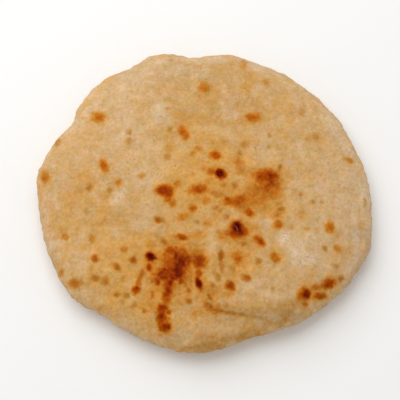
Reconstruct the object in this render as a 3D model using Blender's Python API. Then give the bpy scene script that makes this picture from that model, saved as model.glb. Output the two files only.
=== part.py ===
"""A baladi bread: a round wholemeal flatbread, shaped by hand, that puffed up in a hot
oven and then sank a little.

The loaf is one solid. It lies on a flat base, its edge is a full rounded rim with an
uneven outline, and its crown carries the waves, toasted blisters, wrinkles and the
front crease of the crust.

Run it with blender --background --python part.py, or from Blender's text editor.
Lengths are in metres and +Z is up. The origin is on the surface that the loaf lies on,
under the middle of the loaf. -Y is the front, where the crown folds down to the rim.
"""

import math
from typing import NamedTuple

import bmesh
import bpy
from mathutils import Matrix, Vector, noise

MM = 0.001

# Driving dimensions
WIDTH = 0.200  # across the loaf, from left to right
CROWN_HEIGHT = 0.0245  # the top of the crown over the table
RIM_HEIGHT = 0.0092  # the rim's outermost line over the table
BASE_SHARE = 0.79  # how much of the outline's reach lies flat on the table

# The outline, as (bearing in degrees, reach as a percentage of half the width).
# Bearing 0 points right, to +X, and 90 points back, to +Y.
OUTLINE = (
    (4, 98.8), (18, 96.0), (31, 95.4), (44, 94.1), (60, 93.2), (72, 92.6), (80, 93.6),
    (87, 91.5), (94, 89.9), (98, 91.4), (103, 95.2), (110, 96.9), (118, 94.3),
    (130, 96.4), (145, 93.9), (151, 90.8), (155, 92.9), (160, 94.3), (166, 96.5),
    (172, 98.9), (178, 97.6), (187, 97.1), (203, 97.0), (213, 98.2), (220, 98.1),
    (235, 93.7), (252, 93.9), (266, 94.9), (280, 92.1), (286, 90.6), (292, 91.8),
    (298, 94.0), (304, 95.9), (311, 97.0), (327, 101.0), (341, 103.2), (354, 100.2),
)  # fmt: skip

# The rim's height rises and falls round the loaf: (waves in a turn, metres, bearing of
# a wave's top in degrees)
RIM_WAVES = ((1, 0.9 * MM, 285), (3, 0.6 * MM, 75), (5, 0.4 * MM, 20))

CROWN_FULLNESS = 5.0  # 2 is half an ellipse, and more is flatter with a fuller shoulder

# Broad waves in the crust: (metres from one wave to the next, metres high)
WAVES = ((0.062, 1.5 * MM), (0.027, 0.55 * MM), (0.013, 0.22 * MM))
WAVE_PLACE = Vector((3.1, 7.7, 0.4))  # which stretch of the noise makes the waves


class Blister(NamedTuple):
    """A bubble in the crust, or a hollow where its height is negative."""

    x: float  # millimetres from the middle of the loaf
    y: float
    radius: float
    height: float


class Fold(NamedTuple):
    """A ridge along a path in the crust, or a crease where its height is negative."""

    path: tuple  # (x, y) points, in millimetres from the middle of the loaf
    width: float
    height: float


class Step(NamedTuple):
    """A place where the crown ends along a path and the crust outside it lies lower."""

    path: tuple  # (x, y) points, in millimetres from the middle of the loaf
    inner_width: float  # how far in the crown is raised, and by how much at the path
    inner_rise: float
    outer_width: float  # how far out the crust is sunk, and by how much at the path
    outer_drop: float
    slope_width: float  # how wide the step itself is


BLISTER_FALLOFF = 1.6  # how steeply a blister's side drops, and the same for a fold's
FOLD_FALLOFF = 2.5
FOLD_END = 0.25  # the share of a fold's path over which each of its ends fades out

BLISTERS = (
    Blister(-18, -42, 30, -3.0),  # the toasted middle, which sank
    Blister(37, 4, 10, 1.1),
    Blister(-22, -2, 8, 0.8),
    Blister(-5, 0, 7, 0.5),
    Blister(12, -2, 8, 0.6),
    Blister(20, -26, 7, 0.6),
    Blister(49, -36, 12, 1.0),
    Blister(-46, -13, 13, 0.8),
    Blister(58, -64, 8, 0.9),
    Blister(71, -58, 7, 0.7),
    Blister(-64, 46, 7, 0.6),
    Blister(30, 46, 7, 0.6),
    Blister(1, 66, 7, 0.5),
    Blister(-52, 62, 16, 0.9),
    Blister(52, 30, 18, 0.9),
    Blister(-46, -64, 20, -1.6),  # the rim is lower here and at the right
    Blister(77, -38, 15, -0.9),
)

FRONT_CREASE = ((-12, -66), (-3, -69), (7, -72), (18, -75), (32, -77), (45, -78), (56, -76))

# The front crease, where the crown folds down to a lower lip
STEPS = (Step(FRONT_CREASE, 14.0, 0.8, 9.0, 1.2, 5.0),)

FOLDS = (
    # The bottom of the front crease, and the lip that swells below it
    Fold(FRONT_CREASE, 5.0, -1.0),
    Fold(((-28, -80), (-6, -84), (14, -86.5), (34, -87), (52, -85)), 8.0, 0.8),
    # A long furrow inside the right rim, with the rim rolled up outside it
    Fold(((84, 16), (88, -4), (89, -22), (86, -39), (79, -51)), 6.0, -1.1),
    Fold(((92, 14), (96, -4), (97, -22), (94, -39), (87, -51)), 5.0, 0.5),
    # Folds that run out of the toasted middle
    Fold(((6, -20), (7.5, -34), (6, -48), (3, -60)), 6.0, 1.1),
    Fold(((4, -4), (15, -12), (26, -19)), 5.5, 1.0),
    Fold(((-38, -46), (-52, -60), (-63, -68)), 7.0, -0.9),
    Fold(((-27, -55), (-36, -71), (-41, -82)), 6.0, -0.8),
    Fold(((-10, -60), (-13, -74), (-16, -87)), 6.5, 0.8),
    # Shallow furrows where the left side sank
    Fold(((-50, -22), (-66, -32), (-80, -40)), 8.0, -0.7),
    Fold(((-36, 20), (-50, 34), (-58, 50)), 9.0, -0.6),
)

# How fine the mesh is: the crown's lattice has 6 more points on each ring
CROWN_RINGS = 32
RIM_STEPS = 2  # rings between the rim's outermost line and where the lattice halves
UNDERSIDE_STEPS = 3  # rings from there to the edge of the flat base
TURN_WEIGHT = 0.012  # metres of section that count the same as one radian of turn
SMOOTH_PASSES = 2  # each evens out the crust a little

CRUST_COLOUR = (0.62, 0.40, 0.19, 1.0)
CRUST_ROUGHNESS = 0.82


def smooth_share(share):
    """0 to 1, with no kink at either end."""
    share = min(max(share, 0.0), 1.0)
    return share * share * (3.0 - 2.0 * share)


def reach(bearing):
    """The outline's distance from the middle, along a bearing in degrees: one smooth
    closed curve through OUTLINE, by cubic Hermite spans."""
    count = len(OUTLINE)
    bearing = (bearing - OUTLINE[0][0]) % 360.0 + OUTLINE[0][0]
    span = max(i for i in range(count) if OUTLINE[i][0] <= bearing)

    def knot(index):
        turns, place = divmod(index, count)
        return OUTLINE[place][0] + 360.0 * turns, OUTLINE[place][1]

    (b0, r0), (b1, r1), (b2, r2), (b3, r3) = (knot(span + k) for k in (-1, 0, 1, 2))
    t = (bearing - b1) / (b2 - b1)
    slope1 = (r2 - r0) / (b2 - b0) * (b2 - b1)
    slope2 = (r3 - r1) / (b3 - b1) * (b2 - b1)
    percent = (
        (2 * t**3 - 3 * t**2 + 1) * r1
        + (t**3 - 2 * t**2 + t) * slope1
        + (3 * t**2 - 2 * t**3) * r2
        + (t**3 - t**2) * slope2
    )
    return percent / 100.0 * WIDTH / 2.0


def rim_height(bearing):
    """The height of the rim's outermost line at a bearing."""
    waves = (h * math.cos(math.radians(n * (bearing - top))) for n, h, top in RIM_WAVES)
    return RIM_HEIGHT + sum(waves)


def crown_rise(share):
    """How far up from the rim the crown is, 0 to 1, at a share of the reach."""
    return math.sqrt(max(0.0, 1.0 - share**CROWN_FULLNESS))


def crown_shares(rings):
    """Shares of the reach for the crown's rings. They are evenly spaced along the
    crown's section, and closer together where it turns down to the rim."""
    samples = 1200
    shares = [i / samples for i in range(samples + 1)]
    rise = CROWN_HEIGHT - RIM_HEIGHT
    section = [Vector((s * WIDTH / 2.0, crown_rise(s) * rise)) for s in shares]
    steps = [outer - inner for inner, outer in zip(section, section[1:])]
    along = [0.0, steps[0].length]
    for before, step in zip(steps, steps[1:]):
        along.append(along[-1] + step.length + TURN_WEIGHT * before.angle(step))
    targets = [along[-1] * ring / rings for ring in range(rings + 1)]
    return [shares[min(range(samples + 1), key=lambda i: abs(along[i] - t))] for t in targets]


def crown_point(bearing, share):
    """A point of the smooth crown."""
    r = reach(bearing) * share
    low = rim_height(bearing) * smooth_share(share) + RIM_HEIGHT * (1.0 - smooth_share(share))
    z = low + crown_rise(share) * (CROWN_HEIGHT - RIM_HEIGHT)
    turn = math.radians(bearing)
    return Vector((r * math.cos(turn), r * math.sin(turn), z))


def underside_point(bearing, turn_under):
    """A point of the quarter ellipse from the rim, at turn_under 0, to the base's edge,
    at turn_under 1."""
    angle = turn_under * math.pi / 2.0
    share = BASE_SHARE + (1.0 - BASE_SHARE) * math.cos(angle)
    r = reach(bearing) * share
    turn = math.radians(bearing)
    z = rim_height(bearing) * (1.0 - math.sin(angle))
    return Vector((r * math.cos(turn), r * math.sin(turn), z))


def base_point(bearing, share):
    """A point of the flat base, at a share of its own reach."""
    r = reach(bearing) * BASE_SHARE * share
    turn = math.radians(bearing)
    return Vector((r * math.cos(turn), r * math.sin(turn), 0.0))


def add_ring(mesh, count, place):
    """A closed ring of points, each at place(bearing)."""
    return [mesh.verts.new(place(360.0 * i / count)) for i in range(count)]


def knit(mesh, inner, outer):
    """Fills the band between two rings, which may hold different numbers of points,
    with triangles that face up where the outer ring is lower."""
    i, j = 0, 0
    while i < len(inner) or j < len(outer):
        a, b = inner[i % len(inner)], outer[j % len(outer)]
        inner_is_next = (i + 1) * len(outer) < (j + 1) * len(inner)
        if i < len(inner) and (inner_is_next or j >= len(outer)):
            mesh.faces.new((a, b, inner[(i + 1) % len(inner)]))
            i += 1
        else:
            mesh.faces.new((a, b, outer[(j + 1) % len(outer)]))
            j += 1


def close_middle(mesh, centre, ring):
    """A fan of triangles from one point to the smallest ring."""
    for i, corner in enumerate(ring):
        mesh.faces.new((centre, corner, ring[(i + 1) % len(ring)]))


def build_crown(mesh):
    """The crown's lattice, from the middle out. It returns the ring on the rim."""
    shares = crown_shares(CROWN_RINGS)
    ring = add_ring(mesh, 6, lambda bearing: crown_point(bearing, shares[1]))
    close_middle(mesh, mesh.verts.new(crown_point(0.0, 0.0)), ring)
    for k in range(2, CROWN_RINGS + 1):
        outer = add_ring(mesh, 6 * k, lambda bearing, s=shares[k]: crown_point(bearing, s))
        knit(mesh, ring, outer)
        ring = outer
    return ring


def build_underside(mesh, rim):
    """The underside, from the rim in to the middle of the base. Its lattice is half as
    fine as the crown's from the third ring on."""
    steps = RIM_STEPS + UNDERSIDE_STEPS
    half = len(rim) // 2
    ring = rim
    for step in range(1, steps + 1):
        count = len(rim) if step < RIM_STEPS else half
        inner = add_ring(mesh, count, lambda b, t=step / steps: underside_point(b, t))
        knit(mesh, inner, ring)
        ring = inner
    rings = half // 6
    for k in range(rings - 1, 0, -1):
        inner = add_ring(mesh, 6 * k, lambda b, s=k / rings: base_point(b, s))
        knit(mesh, inner, ring)
        ring = inner
    close_middle(mesh, mesh.verts.new((0.0, 0.0, 0.0)), ring)


def distance_to_path(x, y, path):
    """(distance from a point to a path, how far along the path its foot is, 0 to 1)."""
    point = Vector((x, y))
    best, place = math.inf, 0.0
    spans = len(path) - 1
    for i in range(spans):
        start, end = Vector(path[i]), Vector(path[i + 1])
        line = end - start
        t = min(max((point - start).dot(line) / line.length_squared, 0.0), 1.0)
        away = (start + line * t - point).length
        if away < best:
            best, place = away, (i + t) / spans
    return best, place


def path_point(path, place):
    """The point a share of the way along a path."""
    along = min(max(place, 0.0), 1.0) * (len(path) - 1)
    span = min(int(along), len(path) - 2)
    return Vector(path[span]).lerp(Vector(path[span + 1]), along - span)


def step_relief(x, y, step):
    """How far a step moves the crust at a point, in metres."""
    away, place = distance_to_path(x, y, step.path)
    foot = path_point(step.path, place)
    outside = math.copysign(away, math.hypot(x, y) - foot.length)
    share = smooth_share(outside / step.slope_width + 0.5)
    inner = step.inner_rise * math.exp(-((min(outside, 0.0) / step.inner_width) ** 2))
    outer = step.outer_drop * math.exp(-((max(outside, 0.0) / step.outer_width) ** 2))
    fade = smooth_share(place / FOLD_END) * smooth_share((1.0 - place) / FOLD_END)
    return (inner * (1.0 - share) - outer * share) * fade * MM


def relief(point):
    """How far the crust stands out of the smooth crown at a point, in metres."""
    x, y = point.x / MM, point.y / MM
    height = 0.0
    for blister in BLISTERS:
        away = math.hypot(x - blister.x, y - blister.y) / blister.radius
        height += blister.height * MM * math.exp(-BLISTER_FALLOFF * away**2)
    for fold in FOLDS:
        away, place = distance_to_path(x, y, fold.path)
        fade = smooth_share(place / FOLD_END) * smooth_share((1.0 - place) / FOLD_END)
        side = math.exp(-FOLD_FALLOFF * (away / fold.width) ** 2)
        height += fold.height * MM * fade * side
    for step in STEPS:
        height += step_relief(x, y, step)
    for length, wave_height in WAVES:
        height += wave_height * noise.noise(point / length + WAVE_PLACE)
    return height


def raise_crust(mesh):
    """Moves the crust out along its normals by its relief. The flat base stays, and the
    relief fades in over the underside's rounded edge."""
    mesh.normal_update()
    moves = []
    for vert in mesh.verts:
        above = smooth_share(vert.co.z / RIM_HEIGHT)
        moves.append(vert.normal * relief(vert.co) * above)
    for vert, move in zip(mesh.verts, moves):
        vert.co += move
    crust = [vert for vert in mesh.verts if vert.co.z > 0.0]
    for _ in range(SMOOTH_PASSES):
        bmesh.ops.smooth_vert(
            mesh, verts=crust, factor=0.5, use_axis_x=True, use_axis_y=True, use_axis_z=True
        )


def settle(mesh):
    """Brings the loaf to its full width, which the smoothing took a little from, and
    puts the origin on the table under the middle of its box."""
    lows = [min(vert.co[k] for vert in mesh.verts) for k in range(3)]
    highs = [max(vert.co[k] for vert in mesh.verts) for k in range(3)]
    middle = Vector(((lows[0] + highs[0]) / 2, (lows[1] + highs[1]) / 2, lows[2]))
    spread = WIDTH / (highs[0] - lows[0])
    mesh.transform(Matrix.Diagonal((spread, spread, 1.0, 1.0)) @ Matrix.Translation(-middle))


def crust_material():
    """The pale toasted crust."""
    material = bpy.data.materials.new("crust")
    material.use_nodes = True
    shader = material.node_tree.nodes["Principled BSDF"]
    shader.inputs["Base Color"].default_value = CRUST_COLOUR
    shader.inputs["Roughness"].default_value = CRUST_ROUGHNESS
    shader.inputs["Metallic"].default_value = 0.0
    return material


def build_bread():
    """The whole loaf as one closed mesh."""
    mesh = bmesh.new()
    rim = build_crown(mesh)
    build_underside(mesh, rim)
    bmesh.ops.recalc_face_normals(mesh, faces=mesh.faces)
    raise_crust(mesh)
    settle(mesh)
    data = bpy.data.meshes.new("bread")
    mesh.to_mesh(data)
    mesh.free()
    data.shade_smooth()
    data.materials.append(crust_material())
    bread = bpy.data.objects.new("bread", data)
    bpy.context.scene.collection.objects.link(bread)
    return bread


def main():
    for old in list(bpy.data.objects):
        bpy.data.objects.remove(old)
    build_bread()


main()
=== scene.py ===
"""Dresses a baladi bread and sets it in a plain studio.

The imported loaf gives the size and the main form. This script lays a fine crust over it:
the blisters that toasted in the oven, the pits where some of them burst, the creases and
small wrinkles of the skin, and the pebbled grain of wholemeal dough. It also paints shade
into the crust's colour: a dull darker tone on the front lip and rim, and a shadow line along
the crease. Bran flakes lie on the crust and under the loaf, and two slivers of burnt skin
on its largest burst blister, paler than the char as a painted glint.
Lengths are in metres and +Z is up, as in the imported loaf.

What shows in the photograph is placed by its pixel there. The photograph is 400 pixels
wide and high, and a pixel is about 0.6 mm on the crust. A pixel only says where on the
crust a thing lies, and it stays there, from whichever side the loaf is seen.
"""

from __future__ import annotations

import itertools
import logging
import math
from collections.abc import Iterator
from dataclasses import dataclass, replace
from enum import Enum
from typing import TypeVar

import bmesh
import bpy
import numpy as np
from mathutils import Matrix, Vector


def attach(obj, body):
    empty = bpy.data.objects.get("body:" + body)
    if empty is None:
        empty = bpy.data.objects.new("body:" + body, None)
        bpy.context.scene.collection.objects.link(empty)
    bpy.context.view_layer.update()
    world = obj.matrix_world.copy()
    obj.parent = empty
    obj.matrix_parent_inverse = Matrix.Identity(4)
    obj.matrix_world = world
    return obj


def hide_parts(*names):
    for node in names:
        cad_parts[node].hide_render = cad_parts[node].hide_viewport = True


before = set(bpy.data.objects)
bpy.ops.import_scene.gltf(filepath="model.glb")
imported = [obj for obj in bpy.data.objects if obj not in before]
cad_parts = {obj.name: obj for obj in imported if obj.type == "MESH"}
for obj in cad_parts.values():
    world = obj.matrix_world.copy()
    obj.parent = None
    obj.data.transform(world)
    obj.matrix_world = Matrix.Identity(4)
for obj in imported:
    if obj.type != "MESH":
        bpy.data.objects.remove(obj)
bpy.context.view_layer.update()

LOG = logging.getLogger("baladi_bread")

MM = 0.001
LOAF_NODE = "bread"
LOAF_BODY = "root"
PHOTO_SIDE = 400
PIXEL = 0.6 * MM

Socket = bpy.types.NodeSocket
Entry = Socket | float | tuple[float, float, float, float]
Entries = dict[int | str, Entry]
Ring = list[bmesh.types.BMVert]
Layer = tuple[int, float, float]  # the seed of some noise, its size and its strength
Fade = tuple[float, float]  # where a fade starts and where it ends
Step = tuple[float, float, float, float]  # two values, and what each of them turns into
Kind = TypeVar("Kind")


def linear(colour: str) -> tuple[float, float, float, float]:
    """Turns a screen colour into the linear colour that a shader takes.

    Args:
        colour: the colour as "#RRGGBB".

    Returns:
        Red, green, blue and an alpha of 1, in linear light.
    """
    parts = [int(colour[i : i + 2], 16) / 255 for i in (1, 3, 5)]
    lit = [p / 12.92 if p <= 0.04045 else ((p + 0.055) / 1.055) ** 2.4 for p in parts]
    return (*lit, 1.0)


def smooth_step(low: float, high: float, value: np.ndarray) -> np.ndarray:
    """Rises from 0 at low to 1 at high, with no kink at either end.

    Args:
        low: where the rise starts. It may be above high, for a fall.
        high: where it ends.
        value: the numbers to look up.

    Returns:
        One share from 0 to 1 for each number.
    """
    share = np.clip((value - low) / (high - low), 0.0, 1.0)
    return share * share * (3.0 - 2.0 * share)


def place_on_disc(rng: np.random.Generator, reach: float) -> tuple[float, float]:
    """Draws a place on a disc, as likely in one part of it as in another.

    Args:
        rng: where the random numbers come from.
        reach: the disc's radius, in metres.

    Returns:
        Its x and y from the disc's middle, in metres.
    """
    turn = rng.uniform(0.0, math.tau)
    away = reach * math.sqrt(rng.uniform())
    return away * math.cos(turn), away * math.sin(turn)


def read(items: bpy.types.bpy_prop_collection, name: str, width: int, kind: type = float) -> np.ndarray:
    """Reads one property of every point, face or value of a mesh.

    Args:
        items: the points, faces or values.
        name: the property's name.
        width: how many numbers it holds.
        kind: the type of its numbers.

    Returns:
        One row for each item.
    """
    values = np.empty(len(items) * width, dtype=kind)
    items.foreach_get(name, values)
    return values.reshape(-1, width)


@dataclass(frozen=True)
class Grain:
    """Smooth seeded noise in space: the same lumps on every run.

    gain stretches the noise to about -1 to 1.
    """

    seed: int
    gain: float = 1.6

    def at(self, points: np.ndarray, size: float) -> np.ndarray:
        """Reads the noise at some points.

        Args:
            points: one row of x, y and z for each point, in metres.
            size: how far it is from one lump to the next, in metres.

        Returns:
            One value for each point, from about -1 to 1.
        """
        rng = np.random.default_rng(self.seed)
        order = rng.permutation(256)
        slopes = rng.normal(size=(256, 3))
        slopes /= np.linalg.norm(slopes, axis=1, keepdims=True)
        place = points / size
        cell = np.floor(place).astype(int)
        inside = place - cell
        ease = inside**3 * (inside * (inside * 6.0 - 15.0) + 10.0)
        total = np.zeros(len(points))
        for corner in itertools.product((0, 1), repeat=3):
            x, y, z = (cell + corner).T & 255
            key = order[(order[(order[x] + y) & 255] + z) & 255]
            weight = np.prod(np.where(corner, ease, 1.0 - ease), axis=1)
            total += weight * np.einsum("ij,ij->i", slopes[key], inside - corner)
        return total * self.gain


@dataclass(frozen=True)
class PhotoCamera:
    """The camera at the photograph's viewing angle: it looks down on the loaf's front."""

    place: tuple[float, float, float] = (-0.0021, -0.2142, 0.5912)
    down_deg: float = 70.0
    lens_mm: float = 93.2
    sensor_mm: float = 36.0

    def _axes(self) -> tuple[np.ndarray, np.ndarray, np.ndarray]:
        """Finds which way the picture lies.

        Returns:
            The directions to the right, up and ahead in the picture.
        """
        down = math.radians(self.down_deg)
        ahead = np.array((0.0, math.cos(down), -math.sin(down)))
        right = np.array((1.0, 0.0, 0.0))
        return right, np.cross(right, ahead), ahead

    def pixels(self, points: np.ndarray) -> np.ndarray:
        """Finds where points show in the photograph.

        Args:
            points: one row of x, y and z for each point, in metres.

        Returns:
            One row for each point: pixels from the left and from the top.
        """
        right, up, ahead = self._axes()
        seen = points - np.array(self.place)
        scale = self.lens_mm / self.sensor_mm * PHOTO_SIDE / (seen @ ahead)
        half = PHOTO_SIDE / 2
        return np.column_stack((half + seen @ right * scale, half - seen @ up * scale))

    def build(self) -> None:
        """Makes the camera and gives it to the scene."""
        data = bpy.data.cameras.new("photo_camera")
        data.lens = self.lens_mm
        data.sensor_width = self.sensor_mm
        camera = bpy.data.objects.new("photo_camera", data)
        camera.location = self.place
        camera.rotation_euler = (math.radians(90.0 - self.down_deg), 0.0, 0.0)
        bpy.context.scene.collection.objects.link(camera)
        bpy.context.scene.camera = camera


class Bake(Enum):
    """How far a spot of crust baked, and how dull a brown it baked to.

    The first number is its place on the crust's scale of colours. The second is 0 for
    the orange brown of toasted skin and 1 for the dull brown of scorched flour and bran.
    """

    GOLDEN = (0.35, 0.2)
    AMBER = (0.49, 0.1)
    TOASTED = (0.60, 0.0)
    BROWN = (0.70, 0.0)
    RUSSET = (0.79, 0.0)
    DARK = (0.88, 0.0)
    CHAR = (1.0, 0.0)
    STRAW = (0.26, 0.6)
    HAZEL = (0.36, 0.7)
    OCHRE = (0.43, 0.4)
    NUT = (0.48, 0.65)
    UMBER = (0.60, 0.5)

    @property
    def level(self) -> float:
        """Its place on the crust's scale of colours."""
        return self.value[0]

    @property
    def dull(self) -> float:
        """How dull it is, from 0 to 1."""
        return self.value[1]


@dataclass(frozen=True)
class Oval:
    """An oval on the crust: where it shows in the photograph, its size and its tilt.

    u, v, long and wide are pixels of the photograph, and turn is how far the long way
    is turned from level, anticlockwise, in degrees.
    """

    u: float
    v: float
    long: float
    wide: float
    turn: float = 0.0

    def away(self, pixels: np.ndarray) -> np.ndarray:
        """How far pixels are from the middle: 1 is at the oval's edge.

        Args:
            pixels: one row for each point, as PhotoCamera.pixels gives them.

        Returns:
            One distance for each point.
        """
        right, down = (pixels - (self.u, self.v)).T
        turn = math.radians(self.turn)
        along = right * math.cos(turn) - down * math.sin(turn)
        across = right * math.sin(turn) + down * math.cos(turn)
        return np.hypot(along / (self.long / 2), across / (self.wide / 2))


@dataclass(frozen=True)
class Spot(Oval):
    """A toasted spot on the crown.

    lift is how far the blister under it stands out of the crust, in millimetres, or how
    deep it burst where it is negative.
    """

    lift: float = 0.15


@dataclass(frozen=True)
class Patch(Oval):
    """A broad patch of the crown: how strong it is, and for a blush how dull it baked, or, where it is
    painted shade, how dull the shade makes it.
    """

    amount: float = 0.0
    dull: float = 0.0


@dataclass(frozen=True)
class Line:
    """A line drawn on the crown by pixels of the photograph.

    path holds its points, and width is pixels from one side to the other.
    """

    path: tuple[tuple[float, float], ...]
    width: float

    def away(self, pixels: np.ndarray) -> tuple[np.ndarray, np.ndarray]:
        """How far pixels are from the line.

        Args:
            pixels: one row for each point, as PhotoCamera.pixels gives them.

        Returns:
            The distances, where 1 is at the line's side, and how far along the line
            each point's nearest place is, from 0 to 1.
        """
        best = np.full(len(pixels), np.inf)
        place = np.zeros(len(pixels))
        spans = len(self.path) - 1
        for i, (start, end) in enumerate(zip(self.path, self.path[1:])):
            step = np.subtract(end, start)
            share = np.clip((pixels - start) @ step / (step @ step), 0.0, 1.0)
            gap = np.hypot(*(pixels - (np.array(start) + share[:, None] * step)).T)
            nearer = gap < best
            best = np.where(nearer, gap, best)
            place = np.where(nearer, (i + share) / spans, place)
        return best / (self.width / 2), place


@dataclass(frozen=True)
class Streak(Line):
    """Toasting along a line: where the crust cracked, ran or folded, or painted shadow along a crease.
    """

    bake: Bake


@dataclass(frozen=True)
class Wrinkle(Line):
    """A crease or fold: lift is how high it stands, in millimetres, or deep if negative."""

    lift: float


def many(kind: type[Kind], *rows: tuple[object, ...]) -> tuple[Kind, ...]:
    """Makes one of a kind from each row, which holds its values in order."""
    return tuple(kind(*row) for row in rows)


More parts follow.
